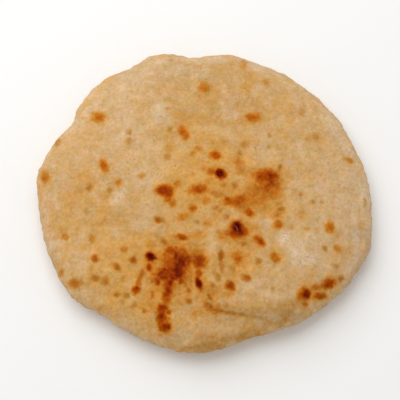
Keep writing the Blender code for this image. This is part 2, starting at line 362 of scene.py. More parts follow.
# Toasted spots: u, v, long, wide, turn and lift
SPOTS: dict[Bake, tuple[Spot, ...]] = {
    Bake.CHAR: many(
        Spot,
        (220.2, 173.8, 7.8, 6.2, -25, -0.9), (236.8, 227.3, 8, 8.2, -15, -1.0),
        (150.3, 256.6, 6.4, 5.6, -20, -0.9), (198.6, 283, 4.6, 8, 18, -0.9),
    ),
    Bake.DARK: many(
        Spot,
        (270, 175, 4, 4, 0, 0.3), (181.5, 261.5, 8, 11, 0, -0.2), (178.8, 270, 9, 15, 0, -0.2),
        (174, 276, 9.5, 7, -10, 0.0), (176, 256, 3.5, 6, 0, 0.0), (163.8, 269.8, 6, 3.5, 15, 0.0),
        (159.8, 273.5, 3.5, 6, -20, 0.0), (165, 277.8, 7, 3.5, 0, 0.0), (168, 292.5, 3.5, 10, -12, 0.0),
        (162.8, 307, 5.5, 4.5, 0, 0.2), (161.3, 316.5, 2.5, 4, 0, 0.0), (165, 326, 5, 4.5, 0, 0.2),
        (168.6, 327, 4, 4.5, 0, 0.0), (306.3, 293.7, 6.5, 6.5, 0, 0.3), (137.3, 288, 3.5, 3.5, 0, 0.1),
        (240.8, 231.5, 6, 4.5, -20, 0.0), (154.6, 258, 3.5, 2.5, -15, 0.0), (170, 283, 5, 6, 0, 0.0),
    ),
    Bake.RUSSET: many(
        Spot,
        (165.3, 190.4, 12, 8, -5, 0.4), (169.5, 193, 7, 7.5, -30, 0.0), (266, 175.8, 16, 9, -6, 0.3),
        (180, 265.5, 12, 23, -5, 0.0), (163.5, 274, 12, 9, 10, 0.0), (162.8, 308, 8, 7, 0, 0.2),
        (168.8, 312.4, 4, 4, 0, 0.0), (162, 317, 5, 11, -8, 0.0), (164.8, 326.5, 8, 7.5, 0, 0.2),
        (136.2, 289.6, 6, 7.5, -20, 0.2), (149.2, 267.6, 4.5, 5.5, 0, 0.2),
        (157.8, 282.3, 4.5, 4, 20, 0.1), (237.8, 232, 14.5, 7.5, 0, 0.1), (188, 259.5, 7, 8, 0, 0.0),
        (171.5, 271.5, 12, 12, 0, 0.0), (167.5, 291, 5, 14, -12, 0.0),
    ),
    Bake.BROWN: many(
        Spot,
        (215.3, 155.3, 8, 6, 0, 0.2), (228, 199.8, 6, 4, -30, 0.2), (197.5, 188.5, 5, 3.5, 0, 0.1),
        (249.2, 212.3, 5.5, 7, 25, 0.2), (329, 283.7, 10, 7.5, 15, 0.3), (304, 294, 9.5, 9, 0, 0.2),
        (230.3, 286.3, 7, 6.5, -35, 0.2), (163, 274, 16, 12, 25, 0.0), (170, 263, 11, 13, 0, 0.0),
        (199, 261.5, 12, 10, 0, 0.1), (186, 265, 8, 8, 0, 0.0), (169, 284.5, 9, 10, -8, 0.0),
        (162.6, 315, 7.5, 17, -3, 0.0), (180.7, 281, 4.5, 5, 0, 0.0), (260, 241.5, 8, 5, -45, 0.2),
        (182.5, 237, 9.5, 4, -12), (269.5, 181.5, 9, 10, 0, 0.1), (262, 178.5, 10, 8, 0, 0.1),
        (171, 251, 8, 8, 0, 0.0), (178, 265.5, 18, 20, 0, 0.0), (164.5, 327, 8, 7, 0, 0.0),
    ),
    Bake.TOASTED: many(
        Spot,
        (268, 184, 14, 16, 0, 0.2), (203.5, 188.5, 7, 5.5, 10, 0.1), (197.5, 189, 11.5, 7.5, 0, 0.25),
        (239.5, 199.5, 10.5, 7, 10, 0.2), (211, 172, 7, 6, 0, 0.1), (236.8, 233.3, 16, 8, 0, 0.0),
        (254, 117.5, 10.5, 7.2, 0, 0.3), (183, 131.5, 6, 8, 25, 0.25), (186.3, 137, 5, 5, 0, 0.1),
        (104.3, 166, 5.8, 10, 22, 0.2), (237, 257, 7, 9.5, 15, 0.2), (275.3, 257.5, 9.5, 6.5, -25, 0.2),
        (277.7, 224.7, 6.5, 6, 0, 0.2), (329.5, 227.5, 6.5, 7.5, 0, 0.3), (167.5, 197, 7, 8, 0, 0.0),
        (199.5, 273.5, 5, 6.5, 0, 0.1), (172, 251, 9, 7, 0, 0.0), (198, 272, 4.5, 8, 0, 0.0),
        (177, 266, 22, 26, -8, 0.0), (234, 201.5, 18, 6.5, 0, 0.0), (168.5, 296, 6, 10, -10, 0.0),
        (257.5, 239, 6, 4.5, -45, 0.1), (319.5, 296, 11, 5, 0, 0.1), (300.5, 297, 5, 4.5, 0, 0.0),
        (165.5, 301.5, 5, 6, 0, 0.0),
    ),
    Bake.AMBER: many(
        Spot,
        (98.3, 117.3, 9.5, 7.2, -15, 0.3), (204, 87.5, 8.5, 7.5, 30, 0.25), (45.2, 177, 6, 7.5, 0, 0.2),
        (182.5, 217, 8.5, 6, 20, 0.2), (265, 188, 22, 20, 0, 0.1), (192.8, 208.5, 6, 5, 30),
        (177, 184, 4.5, 6, -15, 0.1), (173, 203, 5, 6, 0, 0.1), (205.8, 201, 6, 6, 35, 0.1),
        (256, 203, 4.5, 5, 25, 0.0), (118.5, 182.3, 5.5, 5, 20, 0.1), (196, 255, 14, 8, 0, 0.0),
        (168.5, 318.5, 4, 4, 0, 0.0), (243, 205, 12, 7, 0, 0.0), (258, 198, 17, 14, 0, 0.0),
        (272, 194, 9, 8, 0, 0.0), (305, 304, 4.5, 3.5, 0, 0.0), (316, 287.5, 9, 4, 10, 0.1),
    ),
    Bake.OCHRE: many(
        Spot,
        (338, 249, 7, 4.8, -35), (91.8, 239, 5.5, 6, 0, 0.1), (65.3, 236.5, 5.5, 5.5, 0, 0.1),
        (141.3, 176, 5.5, 5.5, 0, 0.1), (197.7, 148.7, 6, 4.5, 0, 0.1), (192.5, 153.7, 4, 4, 0, 0.0),
        (238.5, 163, 5, 12, 15, 0.1), (207, 223, 5, 5, 0, 0.1), (223.3, 184.5, 5, 4, 0, 0.0),
        (215.5, 207.5, 4.5, 4, 0, 0.0), (124, 249, 5.5, 5, 30, 0.1), (160.5, 219.5, 7, 4, -35, 0.0),
        (201.5, 288, 5, 6, 0, 0.0), (191, 284, 3.5, 7, 15, 0.0), (203.5, 168.5, 5, 4, 0, 0.0),
        (349.5, 160.3, 7, 4, -30, 0.1),
    ),
    Bake.GOLDEN: many(
        Spot,
        (152.3, 245, 8.5, 8.5), (243.3, 64.5, 5, 8), (251, 228.5, 5, 8), (177, 267, 38, 34),
        (223, 197, 4, 4), (209, 181, 7, 6), (245, 145, 6, 6), (241, 172, 8, 7), (197, 236, 14, 8),
        (228, 295, 8, 6), (222, 235, 7, 8), (262, 204, 12, 10),
    ),
    Bake.UMBER: many(
        Spot,
        (157.8, 219.5, 5.5, 4.5, -35), (164, 242, 6, 3.5, -35), (246.2, 278, 7.5, 5, -15),
        (221, 256, 4, 7), (189, 301, 5, 4), (209.9, 297, 3, 5, 30), (206.5, 305.5, 4, 6, 30),
        (95, 258.5, 5.5, 5.5), (116.5, 267, 4, 7, 45), (133.3, 260.3, 5, 5), (75.8, 283.6, 9, 7.5),
        (189, 290.5, 4, 5, 20),
    ),
    Bake.NUT: many(
        Spot,
        (89.3, 188, 5, 5), (170, 129.5, 3.5, 4), (341, 278.5, 4, 6, -20), (325, 248.5, 4, 4.5),
        (258.3, 261, 5, 5.5), (222, 266, 4, 12, 3), (218, 277, 4.5, 6), (95.5, 277.8, 5.5, 5),
        (105.7, 281, 5, 7, -15), (116.3, 294.7, 5, 4.5), (126.7, 296, 4.5, 4.5), (134.5, 305, 4, 4.5),
        (61.5, 273, 3.5, 6, -20), (281.3, 209, 5, 3.5, 10), (234.5, 185, 4.5, 5.5, 20),
        (212.6, 284.5, 3.5, 4.5), (243.8, 243.5, 5, 4), (218, 194.5, 7, 5), (280, 167, 3, 4.5, -20),
        (142.3, 273, 3.5, 5.5), (152.5, 279.3, 4.5, 3.5), (226.8, 217.3, 4, 4), (214, 193, 4.5, 4),
    ),
    Bake.HAZEL: many(
        Spot,
        (86, 211.5, 5, 5), (110, 189.5, 5, 4, 20), (128.5, 141, 5, 6), (167.7, 157, 5, 5),
        (266, 82, 6.5, 5.5), (300.5, 194, 4, 4), (57.5, 143, 4, 6, -25), (364.7, 203, 3, 7),
        (316, 137.5, 5.5, 4.5), (269.3, 135.8, 3.5, 4), (282, 181, 3.5, 5), (243.3, 145, 5, 4.5),
        (218.5, 231, 3.5, 4.5), (336, 266, 5.5, 4, -15), (277.5, 203.7, 4, 3), (223.5, 141, 5, 4.5),
        (226, 305, 4, 4.5), (122.5, 279, 4.5, 5), (122.5, 302, 4.5, 4.5), (129, 132, 4.5, 4.5),
        (307, 229, 5, 3.5), (232, 267, 4.5, 4.5), (312.5, 202, 5, 3.5), (322, 201.5, 4, 3.5),
        (197, 222, 4, 3.5), (239.5, 152.5, 4.5, 4), (268, 147, 4, 3), (214, 270, 4, 12),
    ),
    Bake.STRAW: many(
        Spot,
        (171, 60, 5, 5), (199.5, 66.5, 5, 4), (158.5, 92, 5, 5), (81, 118, 4, 5), (301, 215, 7, 6),
        (273, 289, 4, 5), (308, 140, 4, 4), (97, 146, 4, 4), (75, 235, 6, 6), (117, 216, 5, 7),
        (123, 221, 5, 6), (91, 268, 4, 7), (302, 111, 6, 12), (57, 162, 5, 6), (317, 230, 6, 4),
        (318, 195, 8, 5), (169, 147, 8, 7), (136.5, 254, 4, 4), (147, 283, 4, 4), (144, 295, 4, 4),
        (149.5, 303, 4, 5), (291, 227, 4, 3.5), (284, 187.5, 4, 4), (187.5, 324.5, 3.5, 5.5),
        (193, 244, 4, 5),
    ),
}

# Streaks: path, width and bake. The three along the crease under the crown, from (204, 308) to (280,
# 323), are painted shadow.
STREAKS: tuple[Streak, ...] = many(
    Streak,
    (((170, 281), (168.7, 289), (167, 296), (165.3, 303)), 6.5, Bake.BROWN),
    (((162.3, 304), (161.3, 312), (160.8, 320), (164, 329)), 6, Bake.BROWN),
    (((143, 270), (141, 276), (139.5, 281)), 3.5, Bake.AMBER),
    (((141, 277), (139, 282), (137.5, 287)), 4, Bake.TOASTED),
    (((190, 155.5), (194, 151.5), (198, 148.5), (204, 151.8)), 3.5, Bake.GOLDEN),
    (((236.5, 160), (238.5, 166), (240, 171)), 3, Bake.OCHRE),
    (((234, 157), (243, 162), (245, 170)), 3, Bake.GOLDEN),
    (((161.5, 331), (160.5, 337)), 3.5, Bake.GOLDEN),
    (((166, 263), (165.5, 255), (167, 247)), 4, Bake.TOASTED),
    (((176, 252), (176, 246)), 3, Bake.TOASTED), (((152, 290), (152.5, 299)), 2.5, Bake.NUT),
    # The last streak on this line and the streaks on the next two lines are painted shadow along the
    # crease
    (((185, 281), (187, 288)), 2.5, Bake.NUT), (((204, 308), (218, 311), (238, 314.2)), 3, Bake.NUT),
    (((206, 309), (218, 311), (230, 312.6), (252, 317)), 3, Bake.HAZEL),
    (((218, 311), (230, 312.6), (254, 317.5), (280, 323)), 4, Bake.STRAW),
    (((206, 302), (212, 309)), 3, Bake.UMBER),
)

# Where the crust browned evenly, and where shade is painted on the front lip, the front rim and the
# upper-left rim: u, v, long, wide, turn, how far and how dull
BLUSHES_AND_SHADE: tuple[Patch, ...] = many(
    Patch,
    (222, 190, 130, 92, -8, 0.10), (176, 268, 94, 96, 0, 0.09), (228, 208, 74, 46, -10, 0.02),
    (178, 264, 66, 60, 0, 0.11), (264, 190, 38, 34, 0, 0.14, 0.1), (110, 268, 112, 78, 15, 0.04),
    (62, 222, 56, 110, 0, 0.02), (236, 80, 70, 44, 0, 0.07, 0.2), (316, 136, 50, 20, -45, 0.02),
    # The last row on this line and all rows on the next two lines are painted shade on the front lip
    # and rim
    (234, 262, 54, 56, 0, 0.13), (96, 116, 22, 16, 0, 0.03), (246, 334, 100, 24, 12, 0.10, 0.7),
    (278, 313, 90, 30, 14, 0.06, 0.6), (278, 322, 64, 14, 14, 0.10, 0.7),
    (206, 349, 90, 12, 4, 0.16, 0.7), (240, 338, 60, 10, 14, 0.14, 0.7),
    (140, 322, 120, 30, -25, 0.08, 0.1), (209, 309, 38, 14, -8, 0.22, 0.3), (184, 128, 24, 32, 0, 0.05),
    (240, 156, 42, 34, 0, 0.12), (265, 207, 50, 36, 0, 0.13), (196, 110, 110, 56, 0, 0.08, 0.6),
    (252, 106, 40, 44, 0, 0.10, 0.5), (88, 208, 70, 70, 0, 0.06, 0.2),
    (300, 306, 60, 26, 30, 0.08, 0.3), (202, 298, 36, 38, 0, 0.28), (252, 232, 26, 30, 0, 0.14, 0.1),
    # The second row on this line is painted shade on the front lip
    (232, 189, 26, 16, 0, 0.08), (225, 338, 28, 14, 0, 0.10, 0.7), (163, 134, 18, 30, 0, 0.05, 0.4),
    (279, 136, 22, 14, 0, 0.05, 0.4), (251, 175, 22, 20, 0, 0.15, 0.2), (365, 232, 8, 56, 4, 0.05, 0.8),
    (190, 76, 190, 42, 0, 0.00, 0.6), (236, 258, 30, 26, 0, 0.10), (205, 284, 20, 20, 0, 0.16),
    (182, 292, 34, 34, 0, 0.09, 0.5), (156, 300, 50, 34, 0, 0.14), (180, 314, 34, 22, 0, 0.06, 0.4),
    (270, 307, 52, 22, -10, 0.08, 0.2), (282, 170, 24, 46, 0, 0.05), (236, 240, 42, 42, 0, 0.14, 0.3),
    # This row is painted shade on the upper-left rim
    (120, 80, 60, 18, 40, 0.02, 0.8),
)

# Where the flour stayed pale, from 0 for none of it to 1 for all
FLOURS: tuple[Patch, ...] = many(
    Patch,
    (284, 238, 16, 15, 0, 1.00), (295, 247, 32, 22, -25, 0.75), (305, 258, 30, 26, 0, 0.80),
    (312, 242, 50, 44, 0, 0.35), (266, 224, 16, 12, 20, 0.55), (119, 197, 26, 12, 35, 0.75),
    (160, 112, 22, 24, 0, 0.60), (228, 104, 20, 32, 0, 0.25), (275, 122, 18, 10, 45, 0.25),
    (224, 164, 8, 5, 0, 0.60), (353, 182, 18, 44, 0, 0.60), (322, 266, 44, 34, 0, 0.30),
    (205, 331, 24, 14, 0, 0.35), (124, 88, 94, 46, 35, 0.35), (130, 152, 60, 40, 0, 0.22),
    (344, 218, 24, 64, 5, 0.50), (369, 214, 10, 60, 0, 0.55), (46, 200, 9, 40, 0, 0.50),
    (50, 246, 10, 44, -70, 0.65), (341, 138, 110, 18, -58, 0.70), (366, 188, 16, 60, 0, 0.90),
    (160, 61, 40, 12, 0, 0.40), (208, 59, 80, 9, 0, 0.45), (258, 66, 60, 14, -25, 0.60),
    (80, 122, 20, 40, -30, 0.35), (60, 140, 20, 24, -40, 0.35), (66, 186, 14, 30, 0, 0.30),
    (355, 232, 10, 66, 4, 0.70), (350, 268, 14, 40, -25, 0.50), (126, 118, 54, 40, 0, 0.45),
    (302, 98, 22, 40, 30, 0.35), (88, 112, 76, 12, 50, 0.60), (165, 338, 60, 12, -15, 0.40),
    (92, 296, 50, 16, -38, 0.40), (258, 150, 32, 20, 0, 0.35), (252, 292, 62, 26, -5, 0.35),
    (213, 246, 6, 24, 3, 0.35), (232, 214, 36, 9, -35, 0.25), (144, 230, 38, 20, 0, 0.30),
    (330, 184, 76, 64, 0, 0.28), (190, 312, 24, 16, 0, 0.15), (150, 176, 34, 36, 0, 0.40),
    (78, 258, 56, 34, 0, 0.30),
)

# Where single grains of flour lie loose on the palest skin
LOOSE_FLOURS: tuple[Oval, ...] = many(
    Oval,
    (284, 238, 11, 15), (302, 257, 20, 14),
)

# Where the skin is a deeper yellow, or greyer where the amount is negative
GOLDS: tuple[Patch, ...] = many(
    Patch,
    (118, 266, 92, 92, 0, 1.00), (195, 172, 96, 100, 0, 0.75), (363, 254, 32, 66, 4, -1.00),
    (210, 62, 230, 40, 0, -0.50), (50, 190, 26, 150, 0, -0.35), (285, 320, 70, 40, -15, -0.50),
    (245, 108, 60, 44, 0, -0.50),
)

# Slivers of burnt skin that flaked up from a charred spot, coloured paler than the char as a painted
# glint
GLINT_SLIVERS: tuple[Oval, ...] = many(
    Oval,
    (235.9, 226.8, 6.2, 1.5, -42), (237.6, 229.2, 4.2, 1.6, -60),
)

# Creases and folds finer than the loaf's own: path, width and lift
WRINKLES: tuple[Wrinkle, ...] = many(
    Wrinkle,
    (((203, 308), (214, 310.5), (228, 312.5), (242, 315), (256, 318), (270, 321)), 3, -0.35),
    (((214, 302), (228, 305), (242, 307.5), (258, 310)), 6, 0.40),
    (((204, 320), (220, 323), (236, 323.5), (254, 325)), 14, -0.90),
    (((180, 344), (194, 344), (208, 343)), 9, 0.60), (((190, 338), (196, 330), (204, 322)), 5, -0.25),
    (((212, 343), (218, 333), (228, 325)), 5, -0.25), (((238, 338), (242, 330), (250, 324)), 5, -0.20),
    (((213, 232), (215, 246), (214, 260), (213, 274), (211, 290)), 5, 0.35),
    (((221, 232), (223, 246), (222, 262), (219, 280)), 5, -0.35),
    (((213, 197), (222, 203), (232, 210), (248, 222)), 5, 0.30),
    (((206, 196), (213, 206), (224, 214)), 5, -0.30), (((249, 222), (261, 212), (275, 205)), 6, -0.30),
    (((178, 232), (186, 240), (200, 244), (214, 240)), 6, 0.25),
    (((160, 262), (140, 268), (118, 274), (98, 284)), 7, -0.20),
    (((158, 256), (132, 254), (104, 258), (78, 264)), 7, 0.18),
    (((156, 284), (140, 292), (122, 300)), 6, -0.22), (((160, 292), (150, 304), (138, 316)), 6, 0.20),
    (((206, 64), (204, 82), (206, 104), (208, 128)), 9, 0.20),
    (((186, 58), (188, 74), (190, 96)), 8, -0.30), (((60, 144), (72, 150), (88, 154)), 7, -0.25),
    (((360, 196), (362, 220), (362, 240), (359, 260)), 6, -0.50),
)


class Sketch:
    """A material's node tree, with short calls to add to it."""

    def __init__(self, name: str) -> None:
        """Makes an empty material.

        Args:
            name: the material's name.
        """
        self.material = bpy.data.materials.new(name)
        self.material.use_nodes = True
        self.tree = self.material.node_tree
        self.place = self.add("ShaderNodeTexCoord", output="Object")

    def feed(self, node: bpy.types.Node, entries: Entries) -> None:
        """Links outputs to a node's inputs, and sets the inputs that take a plain value.

        Args:
            node: the node.
            entries: what its inputs take, by the name or the number of each input.
        """
        for key, value in entries.items():
            if isinstance(value, Socket):
                self.tree.links.new(value, node.inputs[key])
            else:
                node.inputs[key].default_value = value

    def add(
        self, kind: str, entries: Entries | None = None, output: int | str = 0, **settings: object
    ) -> Socket:
        """Adds a node.

        Args:
            kind: the node's type.
            entries: what its inputs take, by the name or the number of each input.
            output: the name or the number of the output to give.
            settings: what to set on the node itself.

        Returns:
            That output.
        """
        node = self.tree.nodes.new(kind)
        for name, value in settings.items():
            setattr(node, name, value)
        self.feed(node, entries or {})
        return node.outputs[output]

    def dress(self, entries: Entries) -> bpy.types.Material:
        """Feeds the material's shader and gives the finished material."""
        self.feed(self.tree.nodes["Principled BSDF"], entries)
        return self.material

    def work(self, operation: str, *values: Entry, clamp: bool = False) -> Socket:
        """Does sums with values. With clamp, the result is held between 0 and 1."""
        entries = dict(enumerate(values))
        return self.add("ShaderNodeMath", entries, operation=operation, use_clamp=clamp)

    def spread(
        self, value: Socket, low: float, high: float, to_low: float = 0.0, to_high: float = 1.0
    ) -> Socket:
        """Turns low into to_low and high into to_high, with a smooth step between them."""
        entries = dict(enumerate((value, low, high, to_low, to_high)))
        return self.add("ShaderNodeMapRange", entries, interpolation_type="SMOOTHSTEP")

    def noise(self, size: float, detail: float = 2.0, rough: float = 0.5) -> Socket:
        """Makes noise about 0.5, in lumps of a size. detail and rough are of finer lumps."""
        entries = {"Vector": self.place, "Scale": 1.0 / size, "Detail": detail, "Roughness": rough}
        return self.add("ShaderNodeTexNoise", entries, "Fac")

    def swing(self, size: float, detail: float = 2.0, rough: float = 0.5) -> Socket:
        """Makes noise, as noise does, that swings about 0."""
        return self.work("SUBTRACT", self.noise(size, detail, rough), 0.5)

    def swung(self, level: Entry, layers: tuple[tuple[float, float], ...], rough: float = 0.5) -> Entry:
        """Lets a level swing with layers of noise.

        Args:
            level: the level.
            layers: pairs of a size, in metres, and a strength.
            rough: how strong each layer's finer lumps are.

        Returns:
            The level with all the layers added.
        """
        for size, strength in layers:
            level = self.work("MULTIPLY_ADD", self.swing(size, 2.0, rough), strength, level)
        return level

    def cells(self, size: float) -> Socket:
        """Fills the loaf's space with cells, and gives how far it is to a cell's middle."""
        return self.add("ShaderNodeTexVoronoi", {"Vector": self.place, "Scale": 1.0 / size}, "Distance")

    def painted(self, name: str) -> Socket:
        """Reads a value that the mesh holds at each of its points."""
        return self.add("ShaderNodeAttribute", output="Fac", attribute_name=name)

    def ramp(self, value: Socket, stops: tuple[tuple[float, str], ...]) -> Socket:
        """Adds a scale of colours.

        Args:
            value: where on the scale to look.
            stops: pairs of a place on the scale and the colour there.

        Returns:
            The colour.
        """
        found = self.add("ShaderNodeValToRGB", {0: value})
        elements = found.node.color_ramp.elements
        while len(elements) < len(stops):
            elements.new(0.5)
        for element, (place, colour) in zip(elements, stops):
            element.position = place
            element.color = linear(colour)
        return found

    def mix(self, share: Entry, first: Entry, second: Entry) -> Socket:
        """Mixes two colours: share is how much there is of the second."""
        # The node's inputs 6 and 7 and its output 2 are those for colours
        return self.add("ShaderNodeMix", {0: share, 6: first, 7: second}, 2, data_type="RGBA")

    def shade(self, colour: Socket, level: Entry) -> Socket:
        """Multiplies a colour by a level."""
        return self.add("ShaderNodeVectorMath", {0: colour, "Scale": level}, operation="SCALE")

    def tint(self, colour: Socket, red: Entry, green: Entry, blue: Entry) -> Socket:
        """Multiplies each part of a colour by a level of its own."""
        levels = self.add("ShaderNodeCombineXYZ", {0: red, 1: green, 2: blue})
        return self.add("ShaderNodeVectorMath", {0: colour, 1: levels}, operation="MULTIPLY")

    def bump(self, height: Socket, depth: float) -> Socket:
        """Raises the surface by a height, where a height of 1 is depth metres."""
        return self.add("ShaderNodeBump", {"Strength": 1.0, "Distance": depth, "Height": height})


@dataclass(frozen=True)
class CrustFinish:
    """The baked wholemeal crust: its scale of colours, mottling, specks and grain.

    toasted and dull are the two scales of colours, from unbaked to charred. A layer of
    bake_layers or mottle is a size, in metres, and a strength. The sizes of the noises
    are in metres too. A Step turns a noise, a distance in a cell or how far the crust
    baked into an amount.
    """

    toasted: tuple[tuple[float, str], ...] = (
        (0.00, "#D3B083"),
        (0.10, "#D3A972"),
        (0.20, "#D4A15D"),
        (0.30, "#D3974A"),
        (0.40, "#CE8835"),
        (0.50, "#C57620"),
        (0.60, "#BA5F0C"),
        (0.70, "#AA4903"),
        (0.80, "#963600"),
        (0.90, "#7E2300"),
        (1.00, "#5D0A00"),
    )
    dull: tuple[tuple[float, str], ...] = (
        (0.00, "#CDAF84"),
        (0.10, "#CBA774"),
        (0.20, "#C89E63"),
        (0.30, "#C19454"),
        (0.40, "#B88644"),
        (0.50, "#AF7634"),
        (0.60, "#A66622"),
        (0.70, "#985414"),
        (0.80, "#883E08"),
        (1.00, "#580E00"),
    )
    flour: str = "#DFC3A0"
    loose_flour: str = "#FBE9D2"
    speck: str = "#A8763C"
    ragged_size: float = 1.8 * MM
    ragged_room: Step = (0.05, 0.45, 0.10, 0.34)
    bake_layers: tuple[tuple[float, float], ...] = ((4.5 * MM, 0.20), (13.0 * MM, 0.38))
    dull_size: float = 6.5 * MM
    dull_swing: float = 1.2
    dull_level: float = 0.08
    flour_size: float = 6.0 * MM
    flour_patches: Step = (0.42, 0.70, 0.0, 0.35)
    dust_size: float = 0.9 * MM
    dust: Step = (0.25, 0.75, 0.55, 1.0)
    bare: Step = (0.12, 0.40, 1.0, 0.0)
    loose_size: float = 1.6 * MM
    loose_grains: Step = (0.18, 0.50, 0.46, 0.0)
    loose_patch_size: float = 2.4 * MM
    loose_patches: Step = (0.36, 0.54, 0.0, 1.0)
    speck_size: float = 2.3 * MM
    specks: Step = (0.14, 0.24, 1.0, 0.0)
    speck_patch_size: float = 2.6 * MM
    speck_patches: Step = (0.50, 0.58, 0.0, 0.55)
    speck_shows: Step = (0.25, 0.55, 1.0, 0.0)
    mottle: tuple[tuple[float, float], ...] = ((0.8 * MM, 0.28), (2.0 * MM, 0.48), (7.5 * MM, 0.34))
    tint_size: float = 4.2 * MM
    red_swing: float = 0.12
    blue_swing: float = 0.26
    gold_red: float = 0.06
    gold_blue: float = -0.20
    rough: Step = (0.25, 0.9, 0.82, 0.58)
    wear_size: float = 3.0 * MM
    wear: Step = (0.3, 0.7, -0.06, 0.06)
    sheen: float = 0.03
    pore_size: float = 0.55 * MM
    lump_size: float = 1.6 * MM
    lump_height: float = 1.4
    grain_depth: float = 0.10 * MM

    def build(self) -> bpy.types.Material:
        """Makes the material.

        Returns:
            The material, which reads what Crust paints on its points.
        """
        sketch = Sketch("crust")
        bake = self._bake(sketch)
        swing = sketch.swing(self.dull_size, 1.0)
        dullness = sketch.work("MULTIPLY_ADD", swing, self.dull_swing, self.dull_level)
        # The painted dull also holds painted shade on the front lip and rim
        dullness = sketch.work("MAXIMUM", dullness, sketch.painted("dull"), clamp=True)
        colour = sketch.mix(dullness, sketch.ramp(bake, self.toasted), sketch.ramp(bake, self.dull))
        colour = sketch.mix(self._flour(sketch, bake), colour, linear(self.flour))
        specks = sketch.work("MULTIPLY", self._specks(sketch), sketch.spread(bake, *self.speck_shows))
        colour = sketch.mix(specks, colour, linear(self.speck))
        colour = sketch.mix(self._loose_flour(sketch), colour, linear(self.loose_flour))
        colour = sketch.shade(colour, sketch.swung(1.0, self.mottle))
        rough = sketch.spread(bake, *self.rough)
        wear = sketch.spread(sketch.noise(self.wear_size), *self.wear)
        return sketch.dress(
            {
                "Base Color": self._tinted(sketch, colour),
                "Roughness": sketch.work("ADD", rough, wear),
                "Specular IOR Level": self.sheen,
                "Normal": sketch.bump(self._grain(sketch), self.grain_depth),
            }
        )

    def _bake(self, sketch: Sketch) -> Socket:
        """Gives what is painted as bake the ragged edges of real toasting.

        Args:
            sketch: the material's nodes.

        Returns:
            How far each place baked, from 0 to 1.
        """
        painted = sketch.painted("bake")
        room = sketch.spread(painted, *self.ragged_room)
        ragged = sketch.work("MULTIPLY", sketch.swing(self.ragged_size, 3.0, 0.6), room)
        level = sketch.swung(sketch.work("ADD", painted, ragged), self.bake_layers, 0.6)
        return sketch.work("MINIMUM", level, 1.0, clamp=True)

    def _flour(self, sketch: Sketch, bake: Socket) -> Socket:
        """Leaves pale flour on the crust, and less where it baked far.

        Args:
            sketch: the material's nodes.
            bake: how far each place baked.

        Returns:
            How much flour lies at each place, from 0 to 1.
        """
        patches = sketch.spread(sketch.noise(self.flour_size, 4.0, 0.6), *self.flour_patches)
        amount = sketch.work("ADD", sketch.painted("flour"), patches, clamp=True)
        dust = sketch.spread(sketch.noise(self.dust_size, 3.0, 0.6), *self.dust)
        bare = sketch.spread(bake, *self.bare)
        return sketch.work("MULTIPLY", sketch.work("MULTIPLY", amount, dust), bare)

    def _loose_flour(self, sketch: Sketch) -> Socket:
        """The single grains of flour that lie loose on the palest skin."""
        grains = sketch.spread(sketch.cells(self.loose_size), *self.loose_grains)
        chosen = sketch.spread(sketch.noise(self.loose_patch_size, 1.0), *self.loose_patches)
        return sketch.work("MULTIPLY", sketch.work("MULTIPLY", grains, chosen), sketch.painted("loose"))

    def _specks(self, sketch: Sketch) -> Socket:
        """The bran in the dough: a fine brown speck in about a third of its cells."""
        near = sketch.spread(sketch.cells(self.speck_size), *self.specks)
        chosen = sketch.spread(sketch.noise(self.speck_patch_size, 1.0), *self.speck_patches)
        return sketch.work("MULTIPLY", near, chosen)

    def _tinted(self, sketch: Sketch, colour: Socket) -> Socket:
        """Swings the colour between rosy and olive, and makes it yellower or greyer in places.

        Args:
            sketch: the material's nodes.
            colour: the crust's colour.

        Returns:
            The tinted colour.
        """
        swing = sketch.swing(self.tint_size, 0.0)
        gold = sketch.painted("gold")
        red = sketch.work("MULTIPLY_ADD", gold, self.gold_red, 1.0)
        red = sketch.work("MULTIPLY_ADD", swing, self.red_swing, red)
        blue = sketch.work("MULTIPLY_ADD", gold, self.gold_blue, 1.0)
        blue = sketch.work("MULTIPLY_ADD", swing, self.blue_swing, blue)
        return sketch.tint(colour, red, 1.0, blue)

    def _grain(self, sketch: Sketch) -> Socket:
        """The height of the fine grain: pores on low lumps."""
        fine = sketch.noise(self.pore_size, 3.0, 0.6)
        return sketch.work("MULTIPLY_ADD", sketch.noise(self.lump_size), self.lump_height, fine)


@dataclass(frozen=True)
class BranFinish:
    """Dry bran flakes, from straw to brown, and burnt slivers of skin, paler than the char as a painted
    glint.
    """

    straw: str = "#CFA570"
    brown: str = "#B0824C"
    # Painted glint: the burnt slivers are paler than the char they lie on
    burnt_glint: str = "#8A402C"
    streak_size: float = 0.5 * MM
    browner: Step = (0.4, 1.4, 0.0, 1.0)
    burnt_glint_share: Step = (-0.8, -0.2, 1.0, 0.0)
    rough: float = 0.8
    sheen: float = 0.1

    def build(self) -> bpy.types.Material:
        """Makes the material.

        Returns:
            The material, which reads the husk that BranFlakes paints on its points.
        """
        sketch = Sketch("bran")
        husk = sketch.painted("husk")
        shade = sketch.work("ADD", husk, sketch.noise(self.streak_size), clamp=True)
        level = sketch.spread(shade, *self.browner)
        colour = sketch.mix(level, linear(self.straw), linear(self.brown))
        colour = sketch.mix(sketch.spread(husk, *self.burnt_glint_share), colour, linear(self.burnt_glint))
        return sketch.dress(
            {"Base Color": colour, "Roughness": self.rough, "Specular IOR Level": self.sheen}
        )


@dataclass(frozen=True)
class FloorFinish:
    """The plain pale sheet that the loaf lies on."""

    colour: str = "#FFFEFC"
    rough: float = 0.9

    def build(self) -> bpy.types.Material:
        """Makes the material."""
        return Sketch("pale_floor").dress({"Base Color": linear(self.colour), "Roughness": self.rough})


